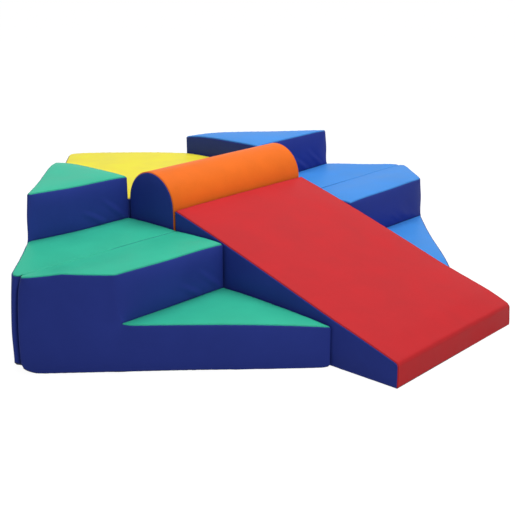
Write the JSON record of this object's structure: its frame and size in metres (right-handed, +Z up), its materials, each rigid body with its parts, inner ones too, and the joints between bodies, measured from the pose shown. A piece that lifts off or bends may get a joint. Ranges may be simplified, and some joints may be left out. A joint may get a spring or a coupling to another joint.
{
  "type": "soft play foam climber",
  "caption": "Soft play climber of vinyl-covered foam blocks: a slide wedge, an arch, a platform and two fold-over corner staircases standing as a diamond.",
  "frame": {"origin": "on the floor, under the middle of the whole climber's bounding box", "axes": "+X to the blue staircase, which is the longest way across; the slide goes down towards -Y; +Z up"},
  "size_m": [1.826, 1.7564, 0.441],
  "materials": {
    "navy_vinyl": "satin PVC-coated fabric with a fine pressed grain",
    "red_vinyl": "satin PVC-coated fabric with a fine pressed grain",
    "orange_vinyl": "satin PVC-coated fabric with a fine pressed grain",
    "yellow_vinyl": "satin PVC-coated fabric with a fine pressed grain",
    "green_vinyl": "satin PVC-coated fabric with a fine pressed grain",
    "blue_vinyl": "satin PVC-coated fabric with a fine pressed grain",
    "foam": "open-cell polyurethane foam",
    "base_fabric": "dotted non-slip base fabric",
    "tape": "woven nylon tape",
    "slider": "nickel-plated zinc, satin"
  },
  "bodies": {
    "arch_block": {"arch_core": "foam", "arch_top_cover": "orange_vinyl", "arch_left_end_cap": "navy_vinyl", "arch_right_end_cap": "navy_vinyl", "arch_base": "base_fabric", "arch_front_loop_strip": "tape", "arch_back_loop_strip": "tape", "arch_zip": "tape"},
    "slide_block": {"slide_core": "foam", "slide_top_cover": "red_vinyl", "slide_side_cover": "navy_vinyl", "slide_base": "base_fabric", "slide_back_hook_strip": "tape", "slide_left_hook_strip": "tape", "slide_right_hook_strip": "tape", "slide_zip": "tape"},
    "platform_block": {"platform_core": "foam", "platform_top": "yellow_vinyl", "platform_side_cover": "navy_vinyl", "platform_base": "base_fabric", "platform_hook_strip": "tape", "platform_zip": "tape"},
    "green_front_block": {"green_front_middle_core": "foam", "green_front_bottom_core": "foam", "green_front_middle_tread": "green_vinyl", "green_front_bottom_tread": "green_vinyl", "green_front_side_cover": "navy_vinyl", "green_front_base": "base_fabric", "green_loop_strip": "tape", "green_front_zip": "tape"},
    "green_back_block": {"green_back_middle_core": "foam", "green_back_top_core": "foam", "green_back_middle_tread": "green_vinyl", "green_back_top_tread": "green_vinyl", "green_back_side_cover": "navy_vinyl", "green_back_base": "base_fabric", "green_back_zip": "tape"},
    "blue_front_block": {"blue_front_middle_core": "foam", "blue_front_bottom_core": "foam", "blue_front_middle_tread": "blue_vinyl", "blue_front_bottom_tread": "blue_vinyl", "blue_front_side_cover": "navy_vinyl", "blue_front_base": "base_fabric", "blue_loop_strip": "tape", "blue_front_zip": "tape"},
    "blue_back_block": {"blue_back_middle_core": "foam", "blue_back_top_core": "foam", "blue_back_middle_tread": "blue_vinyl", "blue_back_top_tread": "blue_vinyl", "blue_back_side_cover": "navy_vinyl", "blue_back_base": "base_fabric", "blue_back_zip": "tape"},
    "arch_zip_slider": {"arch_zip_slider": "slider"},
    "slide_zip_slider": {"slide_zip_slider": "slider"},
    "platform_zip_slider": {"platform_zip_slider": "slider"},
    "green_front_zip_slider": {"green_front_zip_slider": "slider"},
    "green_back_zip_slider": {"green_back_zip_slider": "slider"},
    "blue_front_zip_slider": {"blue_front_zip_slider": "slider"},
    "blue_back_zip_slider": {"blue_back_zip_slider": "slider"}
  },
  "joints": [
    {"name": "slide_pull_away", "type": "slide", "parent": "arch_block", "child": "slide_block", "axis": [0, -1, 0], "range_m": [0, 0.3]},
    {"name": "platform_pull_away", "type": "slide", "parent": "arch_block", "child": "platform_block", "axis": [0, 1, 0], "range_m": [0, 0.3]},
    {"name": "green_stairs_pull_away", "type": "slide", "parent": "arch_block", "child": "green_front_block", "axis": [-1, 0, 0], "range_m": [0, 0.3]},
    {"name": "green_fold", "type": "hinge", "parent": "green_front_block", "child": "green_back_block", "pos_m": [-0.6, -0.05222, 0.282], "axis": [1, 0, 0], "range_deg": [0, 170]},
    {"name": "blue_stairs_pull_away", "type": "slide", "parent": "arch_block", "child": "blue_front_block", "axis": [1, 0, 0], "range_m": [0, 0.3]},
    {"name": "blue_fold", "type": "hinge", "parent": "blue_front_block", "child": "blue_back_block", "pos_m": [0.6, -0.05222, 0.282], "axis": [1, 0, 0], "range_deg": [0, 170]},
    {"name": "arch_zip_run", "type": "slide", "parent": "arch_block", "child": "arch_zip_slider", "axis": [1, 0, 0], "range_m": [0, 0.386]},
    {"name": "slide_zip_run", "type": "slide", "parent": "slide_block", "child": "slide_zip_slider", "axis": [1, 0, 0], "range_m": [0, 0.386]},
    {"name": "platform_zip_run", "type": "slide", "parent": "platform_block", "child": "platform_zip_slider", "axis": [0, 1, 0], "range_m": [0, 0.246]},
    {"name": "green_front_zip_run", "type": "slide", "parent": "green_front_block", "child": "green_front_zip_slider", "axis": [0, -1, 0], "range_m": [0, 0.386]},
    {"name": "green_back_zip_run", "type": "slide", "parent": "green_back_block", "child": "green_back_zip_slider", "axis": [0, 1, 0], "range_m": [0, 0.386]},
    {"name": "blue_front_zip_run", "type": "slide", "parent": "blue_front_block", "child": "blue_front_zip_slider", "axis": [0, -1, 0], "range_m": [0, 0.386]},
    {"name": "blue_back_zip_run", "type": "slide", "parent": "blue_back_block", "child": "blue_back_zip_slider", "axis": [0, 1, 0], "range_m": [0, 0.386]}
  ]
}
